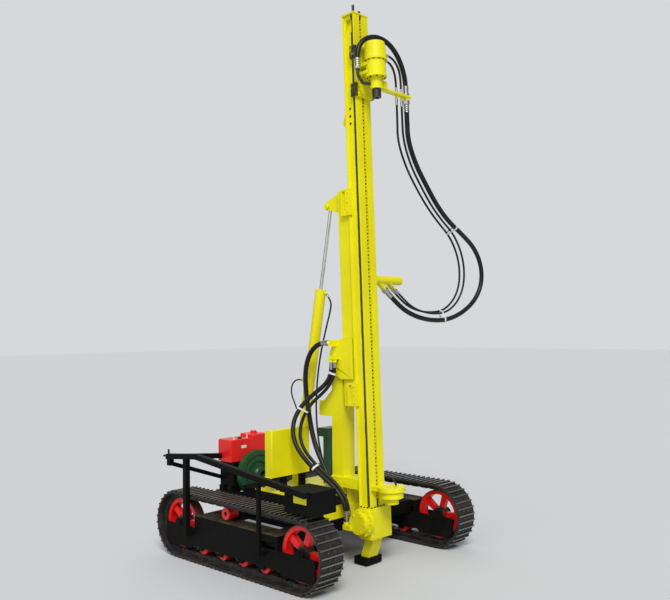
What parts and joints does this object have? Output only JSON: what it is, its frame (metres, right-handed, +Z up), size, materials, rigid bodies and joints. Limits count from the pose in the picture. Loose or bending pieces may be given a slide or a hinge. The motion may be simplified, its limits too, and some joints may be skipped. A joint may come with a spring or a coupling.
{
  "type": "down-the-hole crawler drill rig",
  "caption": "Crawler-mounted down-the-hole drill rig: tracked chassis with engine, hinged mast on a post, sliding feed beam, rotary head on a carriage, lift cylinder and hoses.",
  "frame": {"origin": "on the ground, at the middle of the footprint's box without the free hoses", "axes": "+X forward (the drilling side), +Y to the machine's left, +Z up"},
  "size_m": [2.1678, 2.7902, 4.9131],
  "materials": {
    "yellow_paint": "semi-gloss",
    "red_paint": "semi-gloss",
    "dark_paint": "satin",
    "green_paint": "satin",
    "track_steel": "matte",
    "chrome": "polished",
    "hose_rubber": "matte"
  },
  "bodies": {
    "chassis": {"track_right": "track_steel", "track_left": "track_steel", "track_frame_right": "dark_paint", "track_frame_left": "dark_paint", "track_wheels": "red_paint", "track_rollers": "red_paint", "tension_springs": "dark_paint", "cross_beams": "dark_paint", "chassis_frame": "yellow_paint", "deck": "yellow_paint", "rear_deck": "dark_paint", "box_plate": "yellow_paint", "mast_post": "yellow_paint", "guard": "dark_paint", "side_box": "dark_paint", "oil_tank": "yellow_paint", "tank_stand": "dark_paint", "valve_stand": "green_paint", "engine_bed": "dark_paint", "engine_block": "dark_paint", "engine_hood": "red_paint", "lift_clevis": "yellow_paint", "deck_fittings": "chrome"},
    "mast": {"mast_column": "yellow_paint", "hinge_bracket": "yellow_paint", "beam_guides": "yellow_paint", "rod_ears": "yellow_paint", "hose_plate": "yellow_paint", "supply_hose": "hose_rubber", "feed_hose_a": "hose_rubber", "feed_hose_b": "hose_rubber"},
    "feed_beam": {"feed_beam": "yellow_paint", "feed_chain": "track_steel", "beam_cap": "yellow_paint", "beam_lug": "yellow_paint", "gearbox": "yellow_paint", "feed_motor": "yellow_paint", "foot_leg": "yellow_paint", "foot_pad": "dark_paint", "centralizer": "yellow_paint", "hose_arm": "yellow_paint", "air_loop": "hose_rubber", "motor_loop_a": "hose_rubber", "motor_loop_b": "hose_rubber"},
    "carriage": {"carriage": "yellow_paint", "guide_slippers": "dark_paint", "rotary_head": "yellow_paint", "hose_bracket": "yellow_paint", "air_elbow": "chrome", "air_jumper": "hose_rubber", "motor_jumper_a": "hose_rubber", "motor_jumper_b": "hose_rubber"},
    "spindle": {"chuck": "dark_paint"},
    "lift_barrel": {"lift_barrel": "yellow_paint", "lift_hose": "hose_rubber"},
    "lift_rod": {"lift_rod": "chrome"},
    "flywheel": {"flywheel": "green_paint"}
  },
  "joints": [
    {"name": "mast_tilt", "type": "hinge", "parent": "chassis", "child": "mast", "pos_m": [0.36, 0.03, 1.69], "axis": [0, -1, 0], "range_deg": [0, 60], "deforming": ["supply_hose", "feed_hose_a", "feed_hose_b"]},
    {"name": "beam_slide", "type": "slide", "parent": "mast", "child": "feed_beam", "axis": [-0.0326, 0, 0.9995], "range_m": [0, 0.5]},
    {"name": "head_feed", "type": "slide", "parent": "feed_beam", "child": "carriage", "axis": [0.0326, 0, -0.9995], "range_m": [0, 3.2], "deforming": ["air_loop", "motor_loop_a", "motor_loop_b"]},
    {"name": "spindle_spin", "type": "hinge", "parent": "carriage", "child": "spindle", "pos_m": [0.80908, 0.03, 4.11595], "axis": [0.0326, 0, -0.9995], "continuous": true},
    {"name": "lift_swing", "type": "hinge", "parent": "chassis", "child": "lift_barrel", "pos_m": [-0.231, 0.03, 0.66], "axis": [0, -1, 0], "range_deg": [0, 35.12], "deforming": ["lift_hose"]},
    {"name": "lift_slide", "type": "slide", "parent": "lift_barrel", "child": "lift_rod", "axis": [0.1837, 0, 0.983], "range_m": [-0.7291, 0]},
    {"name": "flywheel_spin", "type": "hinge", "parent": "chassis", "child": "flywheel", "pos_m": [-0.6, -0.155, 0.665], "axis": [1, 0, 0], "continuous": true}
  ],
  "couplings": [
    {"joint": "lift_swing", "follows": "mast_tilt", "ratio": 0.58375},
    {"joint": "lift_slide", "follows": "mast_tilt", "m_per_rad": -0.6953}
  ]
}
